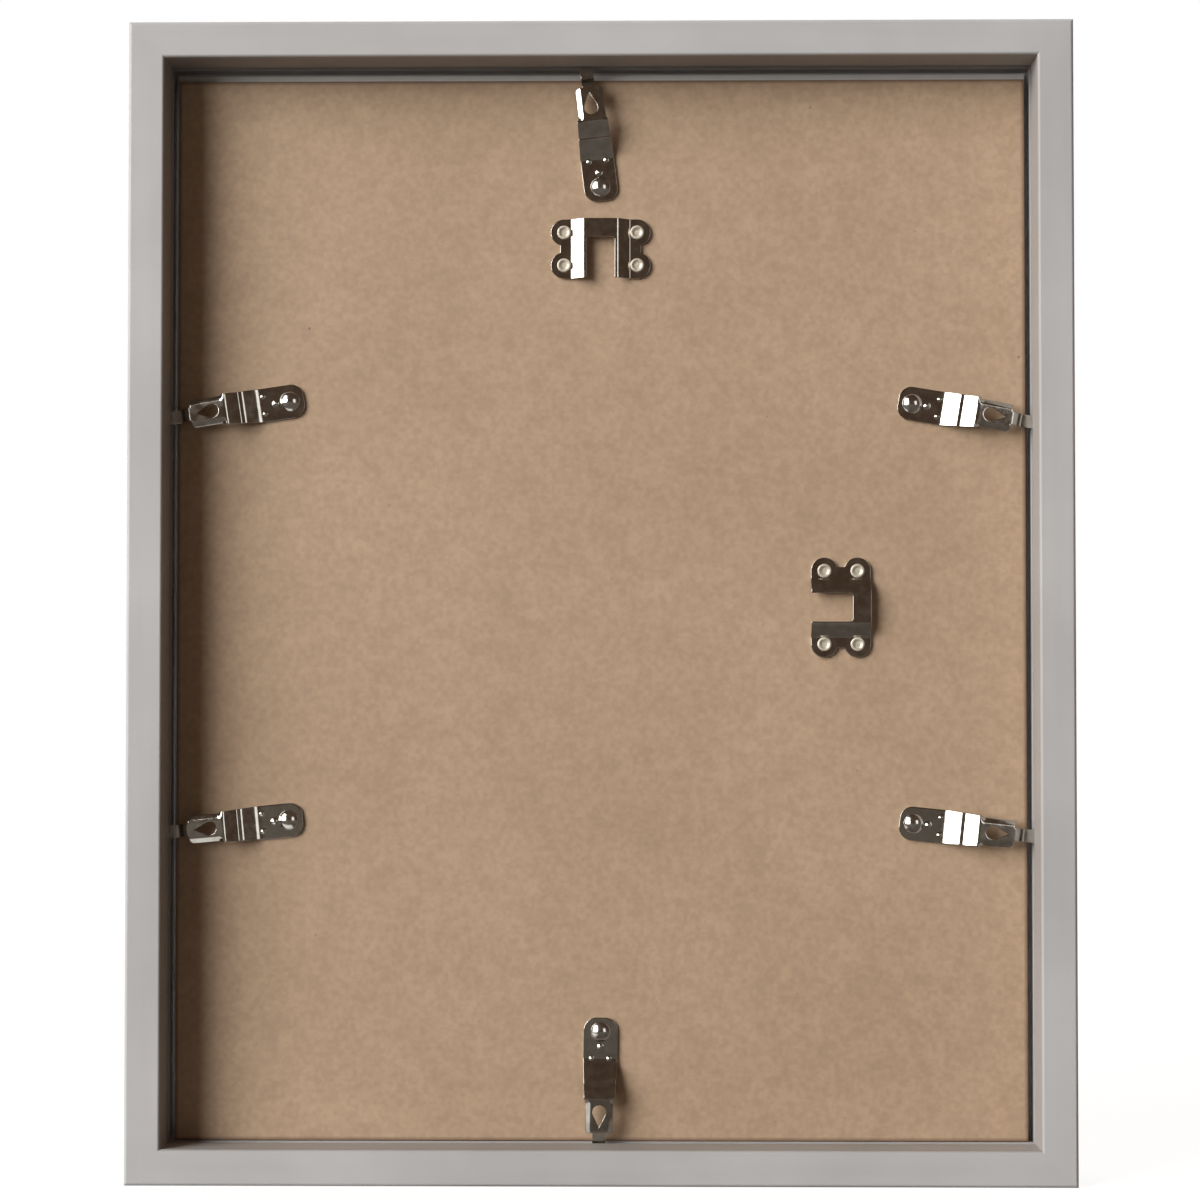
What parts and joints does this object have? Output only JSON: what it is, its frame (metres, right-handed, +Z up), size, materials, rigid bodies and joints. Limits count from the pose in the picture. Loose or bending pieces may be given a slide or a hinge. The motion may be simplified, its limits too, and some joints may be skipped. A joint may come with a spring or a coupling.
{
  "type": "picture frame",
  "caption": "Grey painted wooden picture frame with glass and a hardboard back panel, held by sprung turn clips in a groove, with bridge hangers for upright and landscape hanging.",
  "frame": {"origin": "on the floor under the frame, at the middle of the bottom rail's width and depth", "axes": "+Z up the upright picture, -Y out of the glass towards the viewer, +Y out of the back towards the wall"},
  "size_m": [0.262, 0.025, 0.322],
  "materials": {
    "frame_paint": "grey paint, satin",
    "nail_steel": "bare steel",
    "clear_glass": "clear float glass",
    "print_paper": "matt paper",
    "hardboard": "bare hardboard",
    "plated_steel": "nickel plated, bright",
    "rivet_steel": "nickel plated, bright",
    "hanger_rivet_metal": "dull zinc"
  },
  "bodies": {
    "frame": {"rail_top": "frame_paint", "rail_bottom": "frame_paint", "rail_left": "frame_paint", "rail_right": "frame_paint", "corner_nails_top_left": "nail_steel", "corner_nails_top_right": "nail_steel", "corner_nails_bottom_left": "nail_steel", "corner_nails_bottom_right": "nail_steel", "glass_pane": "clear_glass", "insert_sheet": "print_paper", "back_panel": "hardboard", "clip_rivet_top": "rivet_steel", "clip_rivet_bottom": "rivet_steel", "clip_rivet_left_upper": "rivet_steel", "clip_rivet_left_lower": "rivet_steel", "clip_rivet_right_upper": "rivet_steel", "clip_rivet_right_lower": "rivet_steel", "hanger_portrait": "plated_steel", "hanger_rivets_portrait": "hanger_rivet_metal", "hanger_landscape": "plated_steel", "hanger_rivets_landscape": "hanger_rivet_metal"},
    "clip_top": {"clip_top": "plated_steel"},
    "clip_bottom": {"clip_bottom": "plated_steel"},
    "clip_left_upper": {"clip_left_upper": "plated_steel"},
    "clip_left_lower": {"clip_left_lower": "plated_steel"},
    "clip_right_upper": {"clip_right_upper": "plated_steel"},
    "clip_right_lower": {"clip_right_lower": "plated_steel"}
  },
  "joints": [
    {"name": "clip_top_turn", "type": "hinge", "parent": "frame", "child": "clip_top", "pos_m": [0, -0.0025, 0.2784], "axis": [0, 1, 0], "range_deg": [-117, 103]},
    {"name": "clip_bottom_turn", "type": "hinge", "parent": "frame", "child": "clip_bottom", "pos_m": [0, -0.0025, 0.0406], "axis": [0, 1, 0], "continuous": true},
    {"name": "clip_left_upper_turn", "type": "hinge", "parent": "frame", "child": "clip_left_upper", "pos_m": [0.0877, -0.0025, 0.2178], "axis": [0, 1, 0], "continuous": true},
    {"name": "clip_left_lower_turn", "type": "hinge", "parent": "frame", "child": "clip_left_lower", "pos_m": [0.0877, -0.0025, 0.0998], "axis": [0, 1, 0], "continuous": true},
    {"name": "clip_right_upper_turn", "type": "hinge", "parent": "frame", "child": "clip_right_upper", "pos_m": [-0.0877, -0.0025, 0.2169], "axis": [0, 1, 0], "continuous": true},
    {"name": "clip_right_lower_turn", "type": "hinge", "parent": "frame", "child": "clip_right_lower", "pos_m": [-0.0877, -0.0025, 0.0989], "axis": [0, 1, 0], "continuous": true}
  ]
}
